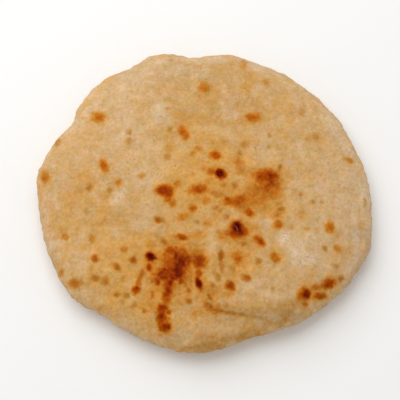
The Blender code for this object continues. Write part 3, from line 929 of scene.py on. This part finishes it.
def new_object(name: str, mesh: bpy.types.Mesh, material: bpy.types.Material) -> bpy.types.Object:
    """Puts a mesh in the scene as a smooth object.

    Args:
        name: the object's name.
        mesh: its mesh.
        material: its one material.

    Returns:
        The object.
    """
    piece = bpy.data.objects.new(name, mesh)
    bpy.context.scene.collection.objects.link(piece)
    mesh.materials.clear()
    mesh.materials.append(material)
    mesh.shade_smooth()
    return piece


def paint(mesh: bpy.types.Mesh, name: str, values: np.ndarray) -> None:
    """Stores one number at each of a mesh's points, for its material to read.

    Args:
        mesh: the mesh.
        name: what the material calls the numbers.
        values: one number for each point.
    """
    layer = mesh.attributes.new(name, "FLOAT", "POINT")
    layer.data.foreach_set("value", values.astype(np.float32))


@dataclass(frozen=True)
class Scatter:
    """Round marks strewn over the loaf, seen from above.

    radius_mm and strength are each the least and the most that a mark may have.
    """

    count: int
    reach: float
    radius_mm: tuple[float, float]
    strength: tuple[float, float]

    def marks(self, seed: int) -> Iterator[tuple[tuple[float, float], float, float]]:
        """Draws the marks.

        Args:
            seed: the seed of the draw.

        Yields:
            Each mark's middle, its radius, in metres, and its strength.
        """
        rng = np.random.default_rng(seed)
        for _ in range(self.count):
            middle = place_on_disc(rng, self.reach)
            radius = rng.uniform(*self.radius_mm) * MM
            yield middle, radius, rng.uniform(*self.strength)


@dataclass(frozen=True)
class Skin:
    """The crust's points: where they are, the way they face and where they show.

    points and normals have one row of x, y and z each, and pixels are where the points
    show in the photograph.
    """

    points: np.ndarray
    normals: np.ndarray
    pixels: np.ndarray

    @classmethod
    def of(cls, mesh: bpy.types.Mesh, camera: PhotoCamera) -> Skin:
        """Reads a mesh's points.

        Args:
            mesh: the mesh.
            camera: the photograph's camera.

        Returns:
            Its skin.
        """
        points = read(mesh.vertices, "co", 3)
        return cls(points, read(mesh.vertex_normals, "vector", 3), camera.pixels(points))

    @property
    def up(self) -> np.ndarray:
        """How far each point faces up, from -1 to 1."""
        return self.normals[:, 2]

    @property
    def crown(self) -> np.ndarray:
        """1 on the crown and 0 on the underside."""
        return smooth_step(-0.10, 0.20, self.up)

    @property
    def rim(self) -> np.ndarray:
        """1 where the crust stands upright at the rim, and 0 where it lies flat."""
        return smooth_step(0.97, 0.45, np.abs(self.up))

    def none(self) -> np.ndarray:
        """A 0 for each point."""
        return np.zeros(len(self.points))

    def grain(self, *layers: Layer) -> np.ndarray:
        """Reads layers of noise at the points, and adds them up."""
        return sum(Grain(seed).at(self.points, size) * strength for seed, size, strength in layers)

    def around(self, middle: tuple[float, float], radius: float) -> np.ndarray:
        """How far each point is from a place, seen from above: 1 is at the radius."""
        return np.hypot(*(self.points[:, :2] - middle).T) / radius

    def within(self, oval: Oval, fade: Fade, ragged: float | np.ndarray = 0.0) -> np.ndarray:
        """Fills an oval: 1 in its middle, and 0 past the fade. ragged is added to distances."""
        return 1.0 - smooth_step(*fade, oval.away(self.pixels) + ragged)


@dataclass
class Toast:
    """What the oven toasted so far: how far each point baked, and to a dull brown.

    fade is how a spot or streak fades, where 1 is at its edge.
    """

    level: np.ndarray
    dull: np.ndarray
    fade: Fade

    def lay(self, level: np.ndarray, dull: float) -> None:
        """Lays toasting over what is there.

        Args:
            level: how far each point baked.
            dull: how dull a brown it baked to.
        """
        self.level = np.maximum(self.level, level)
        self.dull = np.maximum(self.dull, level * dull)

    def mark(self, bake: Bake, away: np.ndarray, share: float | np.ndarray = 1.0) -> None:
        """Lays one spot or streak over what is there.

        Args:
            bake: how far it baked, and how dull it is.
            away: distances from its middle, where 1 is at its edge.
            share: the share of it that shows.
        """
        ease = 1.0 - smooth_step(*self.fade, np.maximum(away, 0.0))
        self.lay(bake.level * share * ease, bake.dull)


@dataclass
class Crust:
    """The loaf's crust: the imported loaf's form with its fine relief and its toasting.

    base_rings are the rings of small triangles under the loaf, as shares of the base's
    edge. The strength of a layer is its height for the lumps, and for an edge it is how
    ragged the noise makes it. A fade is in shares of a spot's or patch's size, where 1 is
    at its edge, and so is halo_reach, the golden ring round a spot. Up to near_floor only
    floor_relief of the lumps is left. The toasted spots of the underside are
    under_least_mm in radius, and more by a gamma draw of the shape and the scale in
    under_growth_mm.
    """

    camera: PhotoCamera
    finish: CrustFinish
    base_rings: tuple[float, ...] = (0.86, 0.70, 0.52, 0.34, 0.16)
    subdivisions: int = 2
    flat: float = 1e-6
    near_floor: float = 0.5 * MM
    floor_relief: float = 0.35
    ground_bake: float = 0.14
    halo: float = 0.09
    halo_reach: float = 1.8
    most_golden: float = 0.34
    # Partly browning and partly painted shade on the rim's upright side
    side_bake_and_shade: float = 0.26
    rim_flour: float = 0.40
    # Painted shade: a dull tone on the rim where it stands upright
    rim_dull_shade: float = 0.45
    freckle_dull: float = 0.45
    freckles: Scatter = Scatter(420, 93.0 * MM, (0.8, 2.3), (0.20, 0.50))
    pebbles: Scatter = Scatter(420, 95.0 * MM, (1.4, 4.2), (0.02, 0.055))
    under_spots: int = 46
    under_reach: float = 86.0 * MM
    under_least_mm: float = 1.6
    under_growth_mm: tuple[float, float] = (2.0, 1.1)
    under_bakes: tuple[float, ...] = (0.22, 0.34, 0.46, 0.58)
    lumps: tuple[Layer, ...] = (
        (21, 9.0 * MM, 0.26 * MM),
        (22, 4.2 * MM, 0.18 * MM),
        (23, 2.1 * MM, 0.11 * MM),
    )
    rim_lumps: tuple[Layer, ...] = ((31, 7.0 * MM, 0.60 * MM), (32, 3.0 * MM, 0.45 * MM))
    dimples: Layer = (44, 8.0 * MM, 1.0)
    dimple_mm: float = 0.35
    spot_fade: Fade = (0.50, 2.80)
    blush_and_shade_fade: Fade = (0.25, 1.25)
    freckle_fade: Fade = (0.3, 1.5)
    flour_fade: Fade = (0.3, 1.35)
    loose_fade: Fade = (0.6, 1.5)
    gold_fade: Fade = (0.3, 1.4)
    under_fade: Fade = (0.3, 1.4)
    toast_edge: tuple[Layer, ...] = ((3, 2.6 * MM, 0.32), (4, 1.4 * MM, 0.16))
    blush_and_shade_edge: Layer = (5, 11.0 * MM, 0.5)
    freckle_edge: Layer = (61, 1.9 * MM, 0.45)
    gold_edge: Layer = (71, 12.0 * MM, 0.4)
    flour_edge: tuple[Layer, ...] = ((51, 6.0 * MM, 0.35), (52, 2.5 * MM, 0.15))
    side_edge: Layer = (6, 10.0 * MM, 0.3)
    side_patches: Layer = (7, 5.0 * MM, 0.5)
    under_edge: tuple[Layer, ...] = ((41, 3.0 * MM, 0.35), (42, 1.3 * MM, 0.2))
    under_blush: Layer = (43, 24.0 * MM, 1.0)
    under_dust: Layer = (53, 14.0 * MM, 0.3)
    under_flour: float = 0.35
    seed: int = 11

    def build(self) -> bpy.types.Object:
        """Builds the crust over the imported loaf, dresses it and lets it stand for it.

        Returns:
            The crust's object.
        """
        mesh = self._smooth_form()
        skin = Skin.of(mesh, self.camera)
        bake, dull, lift = self._toasting(skin)
        under_bake, under_lift = self._underside(skin)
        lift += self._relief(skin)
        points = skin.points + skin.normals * (lift + under_lift)[:, None]
        points[:, 2] = np.maximum(points[:, 2], 0.0)
        mesh.vertices.foreach_set("co", points.ravel())
        skin = replace(skin, points=points)
        # The dull values hold the dullness of scorched flour and bran, and painted shade on the front
        # lip and rim
        paint(mesh, "dull", dull)
        # The bake values hold the painted shadow line along the crease, and on the rim's upright side
        # partly painted shade
        paint(mesh, "bake", np.maximum.reduce((bake * skin.crown, self._side(skin), under_bake)))
        paint(mesh, "flour", self._flour(skin))
        paint(mesh, "loose", self._loose_flour(skin))
        paint(mesh, "gold", self._gold(skin))
        crust = new_object("crust", mesh, self.finish.build())
        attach(crust, LOAF_BODY)
        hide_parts(LOAF_NODE)
        return crust

    def _smooth_form(self) -> bpy.types.Mesh:
        """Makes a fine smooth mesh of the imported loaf's form.

        Returns:
            The mesh, all of small four-sided faces.
        """
        mesh = bmesh.new()
        mesh.from_mesh(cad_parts[LOAF_NODE].data)
        bmesh.ops.remove_doubles(mesh, verts=mesh.verts, dist=self.flat)
        self._refill_base(mesh)
        bmesh.ops.recalc_face_normals(mesh, faces=mesh.faces)
        coarse = bpy.data.meshes.new("crust_form")
        mesh.to_mesh(coarse)
        mesh.free()
        form = bpy.data.objects.new("crust_form", coarse)
        bpy.context.scene.collection.objects.link(form)
        smooth = form.modifiers.new("smooth", "SUBSURF")
        smooth.levels = smooth.render_levels = self.subdivisions
        graph = bpy.context.evaluated_depsgraph_get()
        fine = bpy.data.meshes.new_from_object(form.evaluated_get(graph))
        fine.name = "crust"
        bpy.data.objects.remove(form)
        bpy.data.meshes.remove(coarse)
        return fine

    def _refill_base(self, mesh: bmesh.types.BMesh) -> None:
        """Lays even rings of small triangles over the flat base.

        Args:
            mesh: the loaf's mesh, with a base of a few long triangles.
        """
        base = [face for face in mesh.faces if max(v.co.z for v in face.verts) < self.flat]
        bmesh.ops.delete(mesh, geom=base, context="FACES")
        ring = [vert for vert in mesh.verts if vert.is_boundary]
        ring.sort(key=lambda vert: math.atan2(vert.co.y, vert.co.x))
        edge = np.array([vert.co for vert in ring])
        for share in self.base_rings:
            inner = self._ring(mesh, edge * share, max(6, round(len(edge) * share)))
            self._knit(mesh, inner, ring)
            ring = inner
        middle = mesh.verts.new((0.0, 0.0, 0.0))
        for i, corner in enumerate(ring):
            mesh.faces.new((middle, corner, ring[(i + 1) % len(ring)]))

    @staticmethod
    def _ring(mesh: bmesh.types.BMesh, edge: np.ndarray, count: int) -> Ring:
        """Spaces points evenly round a closed edge.

        Args:
            mesh: the mesh to add them to.
            edge: the edge's corners in order, one row each.
            count: how many points there are.

        Returns:
            The points, in order.
        """
        closed = np.vstack((edge, edge[:1]))
        places = np.arange(count) * len(edge) / count
        columns = [np.interp(places, np.arange(len(closed)), closed[:, k]) for k in range(3)]
        return [mesh.verts.new(point) for point in zip(*columns)]

    @staticmethod
    def _knit(mesh: bmesh.types.BMesh, inner: Ring, outer: Ring) -> None:
        """Fills the band between two rings with triangles.

        Args:
            mesh: the mesh that holds both rings.
            inner: one ring, in order.
            outer: the other, in the same order, with any number of points.
        """
        i, j = 0, 0
        while i < len(inner) or j < len(outer):
            a, b = inner[i % len(inner)], outer[j % len(outer)]
            inner_first = (i + 1) * len(outer) < (j + 1) * len(inner)
            if i < len(inner) and (inner_first or j >= len(outer)):
                mesh.faces.new((a, b, inner[(i + 1) % len(inner)]))
                i += 1
            else:
                mesh.faces.new((a, b, outer[(j + 1) % len(outer)]))
                j += 1

    def _toasting(self, skin: Skin) -> tuple[np.ndarray, np.ndarray, np.ndarray]:
        """Bakes the crown's spots and streaks, with a painted shadow line along the crease and painted
        shade on the front lip, and raises or bursts the blisters under them.

        Args:
            skin: the crust's points.

        Returns:
            How far each point baked, how dull it is, and how far it stands out, in metres.
        """
        ragged = skin.grain(*self.toast_edge)
        ground, drab_and_shade = self._blushes_and_shade(skin)
        toast = Toast(skin.none(), skin.none(), self.spot_fade)
        lift = skin.none()
        for bake, alike in SPOTS.items():
            for spot in alike:
                away = spot.away(skin.pixels)
                toast.mark(bake, away + ragged)
                halo = np.exp(-((away / self.halo_reach) ** 2))
                ground += self.halo * bake.level * (1.0 - bake.dull) * halo
                lift += self._blister(away, spot.lift * MM)
        # Three streaks along the crease are painted shadow, not toasting
        for streak in STREAKS:
            away, place = streak.away(skin.pixels)
            share = smooth_step(-0.05, 0.1, place) * smooth_step(1.05, 0.9, place)
            toast.mark(streak.bake, away + ragged, share)
        toast.lay(self._freckles(skin) * smooth_step(0.08, 0.30, ground), self.freckle_dull)
        baked = np.cbrt(np.minimum(ground, self.most_golden) ** 3 + toast.level**3)
        drab_and_shade *= smooth_step(0.50, 0.20, toast.level)
        dull = np.maximum(toast.dull / np.maximum(baked, 0.01), drab_and_shade)
        return np.clip(baked, 0.0, 1.0), dull, lift * skin.crown

    def _blushes_and_shade(self, skin: Skin) -> tuple[np.ndarray, np.ndarray]:
        """Bakes the crown evenly and further in broad blushes, paints shade as a dull darker tone on
        the front lip, the front rim, the upper-left rim and the upright rim, and dulls the crust where
        it turns sideways or down.

        Args:
            skin: the crust's points.

        Returns:
            How far each point baked, and how dull it is.
        """
        patchy = skin.grain(self.blush_and_shade_edge)
        ground = np.full(len(skin.points), self.ground_bake)
        # Painted shade: a dull tone on the upright rim, and a dull tone where the crust turns sideways
        # or down
        drab_and_shade = np.maximum(self.rim_dull_shade * skin.rim, smooth_step(0.45, 0.10, skin.up))
        for blush_or_shade in BLUSHES_AND_SHADE:
            reach = skin.within(blush_or_shade, self.blush_and_shade_fade, patchy)
            ground += blush_or_shade.amount * reach
            drab_and_shade = np.maximum(drab_and_shade, blush_or_shade.dull * reach)
        return ground, drab_and_shade

    def _freckles(self, skin: Skin) -> np.ndarray:
        """Small faint spots all over the crown, as far as they would bake.

        Args:
            skin: the crust's points.

        Returns:
            How far each point baked.
        """
        ragged = skin.grain(self.freckle_edge)
        toast = skin.none()
        for middle, radius, level in self.freckles.marks(self.seed + 2):
            away = skin.around(middle, radius)
            near = away < 2.5
            edge = np.maximum(away[near] + ragged[near], 0.0)
            spot = level * (1.0 - smooth_step(*self.freckle_fade, edge))
            toast[near] = np.maximum(toast[near], spot)
        return toast

    @staticmethod
    def _blister(away: np.ndarray, lift: float) -> np.ndarray:
        """The side view of a blister, or of one that burst and left a pit with a rim.

        Args:
            away: distances from its middle, where 1 is at its edge.
            lift: how high it stands, or how deep the pit is where it is negative.

        Returns:
            The height at each distance, in metres.
        """
        dome = np.clip(1.0 - (away / 1.25) ** 2, 0.0, None) ** 2
        if lift >= 0.0:
            return lift * dome
        pit = np.exp(-((away / 0.75) ** 4))
        torn_rim = np.exp(-(((away - 1.2) / 0.35) ** 2))
        return lift * pit - 0.3 * lift * torn_rim

    def _relief(self, skin: Skin) -> np.ndarray:
        """The skin's creases, small wrinkles and pebbles.

        Args:
            skin: the crust's points.

        Returns:
            How far each point stands out, in metres.
        """
        lift = skin.none()
        for wrinkle in WRINKLES:
            away, place = wrinkle.away(skin.pixels)
            fade = smooth_step(0.0, 0.2, place) * smooth_step(1.0, 0.8, place)
            lift += wrinkle.lift * MM * fade * np.exp(-(away**2) * 1.5) * skin.crown
        lift += self._pebbling(skin) * skin.crown
        off_floor = np.where(skin.points[:, 2] > self.near_floor, 1.0, self.floor_relief)
        for layer in self.lumps:
            lift += skin.grain(layer) * off_floor
        upright = 1.0 - smooth_step(0.30, 0.75, np.abs(skin.up))
        for layer in self.rim_lumps:
            lift += skin.grain(layer) * upright
        return lift

    def _pebbling(self, skin: Skin) -> np.ndarray:
        """Low bubbles all over the crown, where steam came up through the dough.

        Args:
            skin: the crust's points.

        Returns:
            How far each point stands out, in metres.
        """
        lift = skin.none()
        for middle, radius, steep in self.pebbles.marks(self.seed):
            away = skin.around(middle, radius)
            near = away < 1.0
            lift[near] += steep * radius * (1.0 - away[near] ** 2) ** 2
        return lift

    def _underside(self, skin: Skin) -> tuple[np.ndarray, np.ndarray]:
        """Toasts the bottom crust where it touched the oven floor, and dimples it.

        Args:
            skin: the crust's points.

        Returns:
            How far each point baked, and how far it stands out, in metres.
        """
        rng = np.random.default_rng(self.seed + 1)
        below = smooth_step(-0.30, -0.75, skin.up)
        ragged = skin.grain(*self.under_edge)
        bake = 0.10 * smooth_step(-0.2, 0.6, skin.grain(self.under_blush))
        for _ in range(self.under_spots):
            middle = place_on_disc(rng, self.under_reach)
            radius = self.under_least_mm * MM + rng.gamma(*self.under_growth_mm) * MM
            level = rng.choice(self.under_bakes)
            away = skin.around(middle, radius) + ragged
            bake = np.maximum(bake, level * (1.0 - smooth_step(*self.under_fade, away)))
        dimples = np.minimum(skin.grain(self.dimples), 0.0) * self.dimple_mm * MM
        return bake * below, dimples * below

    def _side(self, skin: Skin) -> np.ndarray:
        """How far the upright side of the rim baked, unevenly: partly browning, partly painted shade
        where the rim turns away from the light.
        """
        side = smooth_step(0.75, 0.10, np.abs(skin.up) + skin.grain(self.side_edge))
        return side * (self.side_bake_and_shade * (0.75 - skin.grain(self.side_patches)))

    def _flour(self, skin: Skin) -> np.ndarray:
        """Leaves pale flour on the crown, the rim and the bottom crust.

        Args:
            skin: the crust's points.

        Returns:
            How much is left on each point, from 0 to 1.
        """
        flour = skin.none()
        ragged = skin.grain(*self.flour_edge)
        for patch in FLOURS:
            flour = np.maximum(flour, patch.amount * skin.within(patch, self.flour_fade, ragged))
        flour = np.maximum(flour, self.rim_flour * skin.rim)
        bottom = self.under_flour + skin.grain(self.under_dust)
        below = smooth_step(-0.25, -0.60, skin.up)
        return np.clip(flour * skin.crown + bottom * below, 0.0, 1.0)

    def _loose_flour(self, skin: Skin) -> np.ndarray:
        """How thickly single grains of flour lie loose, from 0 to 1."""
        heaps = [skin.within(oval, self.loose_fade) for oval in LOOSE_FLOURS]
        return np.maximum.reduce(heaps) * skin.crown

    def _gold(self, skin: Skin) -> np.ndarray:
        """How much yellower or greyer each point is.

        Args:
            skin: the crust's points.

        Returns:
            1 where the skin is a deep yellow and -1 where it is greyest.
        """
        patchy = skin.grain(self.gold_edge)
        gold = skin.none()
        for patch in GOLDS:
            gold += patch.amount * skin.within(patch, self.gold_fade, patchy)
        return np.clip(gold * skin.crown, -1.0, 1.0)


@dataclass(frozen=True)
class FlakeSeat:
    """Where one flake lies on the crust, its half length and half width, and its colour.

    turn is how far its long way is turned from +X, in radians. husk is 0 for straw and 1
    for brown bran, and -1 for burnt skin coloured as a painted glint.
    """

    place: Vector
    normal: Vector
    long: float
    wide: float
    turn: float
    husk: float


@dataclass
class BranFlakes:
    """Flakes stuck to the crust: bran on the crown and under the loaf, and burnt slivers coloured as a
    painted glint.

    long_mm is the least and the most half length of a bran flake, thick_mm its thickness,
    and slim its width as a share of its length. ragged is how far its corners are from
    those of an even oval, and sunk the share of its thickness that is pressed into the
    crust. Slivers are dropped from drop above the crust and stay sliver_gap off it.
    """

    camera: PhotoCamera
    crust: bpy.types.Object
    finish: BranFinish
    on_crown: int = 90
    most_bake: float = 0.35
    below: int = 1500
    sides: int = 7
    long_mm: tuple[float, float] = (0.25, 0.62)
    slim: tuple[float, float] = (0.45, 0.9)
    thick_mm: tuple[float, float] = (0.06, 0.12)
    ragged: tuple[float, float] = (0.75, 1.15)
    lean: float = 0.16
    sunk: float = 0.4
    floor_gap: float = 0.02 * MM
    sliver_gap: float = 0.06 * MM
    drop: float = 20.0 * MM
    seed: int = 5

    def build(self) -> bpy.types.Object:
        """Scatters the flakes as one mesh at true size.

        Returns:
            The flakes' object.
        """
        rng = np.random.default_rng(self.seed)
        corners, faces, husk = [], [], []
        for seat in self._seats(rng):
            faces.extend(self._faces(len(corners)))
            corners.extend(self._flake(rng, seat))
            husk.extend([seat.husk] * (2 * self.sides))
        mesh = bpy.data.meshes.new("bran_flakes")
        mesh.from_pydata(corners, [], faces)
        mesh.validate()
        paint(mesh, "husk", np.array(husk))
        flakes = new_object("bran_flakes", mesh, self.finish.build())
        mesh.shade_flat()
        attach(flakes, LOAF_BODY)
        return flakes

    def _faces(self, start: int) -> list[tuple[int, ...]]:
        """The faces of one flake: its two sides and the edge between them.

        Args:
            start: the number of its first corner. The upper ones come first.

        Returns:
            Each face's corners, by number.
        """
        top = range(start, start + self.sides)
        bottom = range(start + self.sides, start + 2 * self.sides)
        after = [(i, (i + 1) % self.sides) for i in range(self.sides)]
        edge = [(bottom[i], bottom[j], top[j], top[i]) for i, j in after]
        return [tuple(top), tuple(reversed(bottom)), *edge]

    def _seats(self, rng: np.random.Generator) -> list[FlakeSeat]:
        """Draws where the bran lies and finds where the burnt slivers do.

        Args:
            rng: where the random numbers come from.

        Returns:
            One seat for each flake.
        """
        polygons = self.crust.data.polygons
        areas = read(polygons, "area", 1)[:, 0]
        normals = read(polygons, "normal", 3)
        centres = read(polygons, "center", 3)
        first_corner = read(polygons, "vertices", 4, np.int32)[:, 0]
        bake = read(self.crust.data.attributes["bake"].data, "value", 1)[:, 0]
        pale = bake[first_corner] < self.most_bake
        up = normals[:, 2]
        seats = []
        for count, side in ((self.on_crown, (up > 0.0) & pale), (self.below, up <= 0.0)):
            weight = areas * side
            for i in rng.choice(len(areas), count, replace=False, p=weight / weight.sum()):
                seats.append(self._bran_seat(rng, centres[i], normals[i]))
        pixels = np.where(up[:, None] > 0.2, self.camera.pixels(centres), np.inf)
        # The burnt slivers, coloured as a painted glint on the charred pit
        for sliver in GLINT_SLIVERS:
            i = int(np.hypot(*(pixels - (sliver.u, sliver.v)).T).argmin())
            place, normal = Vector(centres[i]), Vector(normals[i])
            half = (sliver.long / 2 * PIXEL, sliver.wide / 2 * PIXEL)
            seats.append(FlakeSeat(place, normal, *half, math.radians(sliver.turn), -1.0))
        return seats

    def _bran_seat(self, rng: np.random.Generator, place: np.ndarray, normal: np.ndarray) -> FlakeSeat:
        """Draws one bran flake's size, turn and colour.

        Args:
            rng: where the random numbers come from.
            place: the middle of the face that it lies on.
            normal: the way that this face looks.

        Returns:
            Its seat.
        """
        long = rng.uniform(*self.long_mm) * MM
        wide = long * rng.uniform(*self.slim)
        turn = rng.uniform(0.0, math.tau)
        return FlakeSeat(Vector(place), Vector(normal), long, wide, turn, float(rng.uniform()))

    def _flake(self, rng: np.random.Generator, seat: FlakeSeat) -> list[Vector]:
        """Shapes one flake: a thin uneven plate, pressed into the crust.

        Args:
            rng: where the random numbers come from.
            seat: where it lies and how large it is.

        Returns:
            Its corners, the upper ones first.
        """
        thick = rng.uniform(*self.thick_mm) * MM
        # A sliver follows the crust, so it doesn't lean
        lean = Vector(rng.normal(0.0, self.lean, 3)) * (seat.husk >= 0.0)
        facing = (seat.normal + lean).normalized()
        along = Vector((math.cos(seat.turn), math.sin(seat.turn), 0.01))
        across = (along - facing * along.dot(facing)).normalized()
        beside = facing.cross(across)
        ring = []
        for i in range(self.sides):
            turn = math.tau * i / self.sides
            ragged = rng.uniform(*self.ragged)
            arm = across * math.cos(turn) * seat.long + beside * math.sin(turn) * seat.wide
            ring.append(seat.place + arm * ragged)
        if seat.husk < 0.0:
            ring = [self._settled(corner) for corner in ring]
        top = [corner + facing * thick * (1.0 - self.sunk) for corner in ring]
        bottom = [corner - facing * thick * self.sunk for corner in ring]
        for corner in (*top, *bottom):
            corner.z = max(corner.z, -self.floor_gap)
        return top + bottom

    def _settled(self, corner: Vector) -> Vector:
        """Moves a point up or down to just above the crown."""
        above = corner + Vector((0.0, 0.0, self.drop))
        hit, place, _, _ = self.crust.ray_cast(above, (0.0, 0.0, -1.0))
        return place + Vector((0.0, 0.0, self.sliver_gap)) if hit else corner


@dataclass
class Studio:
    """A pale floor, soft light from the upper left, and a bright room.

    light_power is in watts, and floor_drop keeps the floor just clear of the loaf.
    """

    finish: FloorFinish
    floor_side: float = 6.0
    floor_drop: float = 0.05 * MM
    light_place: tuple[float, float, float] = (-0.38, 0.57, 1.00)
    light_side: float = 1.40
    light_power: float = 10.7
    room_level: float = 0.52

    def build(self) -> None:
        """Makes the floor, the light and the room."""
        self._floor()
        self._light()
        self._room()
        bpy.context.scene.view_settings.view_transform = "Standard"

    def _floor(self) -> None:
        """Lays the floor under the loaf."""
        half = self.floor_side / 2
        mesh = bpy.data.meshes.new("floor")
        corners = [(-half, -half, 0.0), (half, -half, 0.0), (half, half, 0.0), (-half, half, 0.0)]
        mesh.from_pydata(corners, [], [(0, 1, 2, 3)])
        floor = new_object("floor", mesh, self.finish.build())
        floor.location.z = -self.floor_drop

    def _light(self) -> None:
        """Hangs a square soft light that points at the loaf."""
        data = bpy.data.lights.new("key_light", "AREA")
        data.size = self.light_side
        data.energy = self.light_power
        light = bpy.data.objects.new("key_light", data)
        light.location = self.light_place
        light.rotation_euler = (-Vector(self.light_place)).to_track_quat("-Z", "Y").to_euler()
        bpy.context.scene.collection.objects.link(light)

    def _room(self) -> None:
        """Fills the room with even light."""
        world = bpy.data.worlds.new("bright_room")
        world.use_nodes = True
        backdrop = world.node_tree.nodes["Background"]
        backdrop.inputs["Color"].default_value = (1.0, 1.0, 1.0, 1.0)
        backdrop.inputs["Strength"].default_value = self.room_level
        bpy.context.scene.world = world


def main() -> None:
    """Builds the camera, the loaf and the studio, in that order."""
    logging.basicConfig(level=logging.INFO, format="%(name)s: %(message)s")
    photo_camera = PhotoCamera()
    photo_camera.build()
    crust = Crust(photo_camera, CrustFinish()).build()
    LOG.info("crust: %d faces", len(crust.data.polygons))
    flakes = BranFlakes(photo_camera, crust, BranFinish()).build()
    LOG.info("bran flakes: %d faces", len(flakes.data.polygons))
    Studio(FloorFinish()).build()
    LOG.info("studio: floor, one soft light and a bright room")


if __name__ == "__main__":
    main()
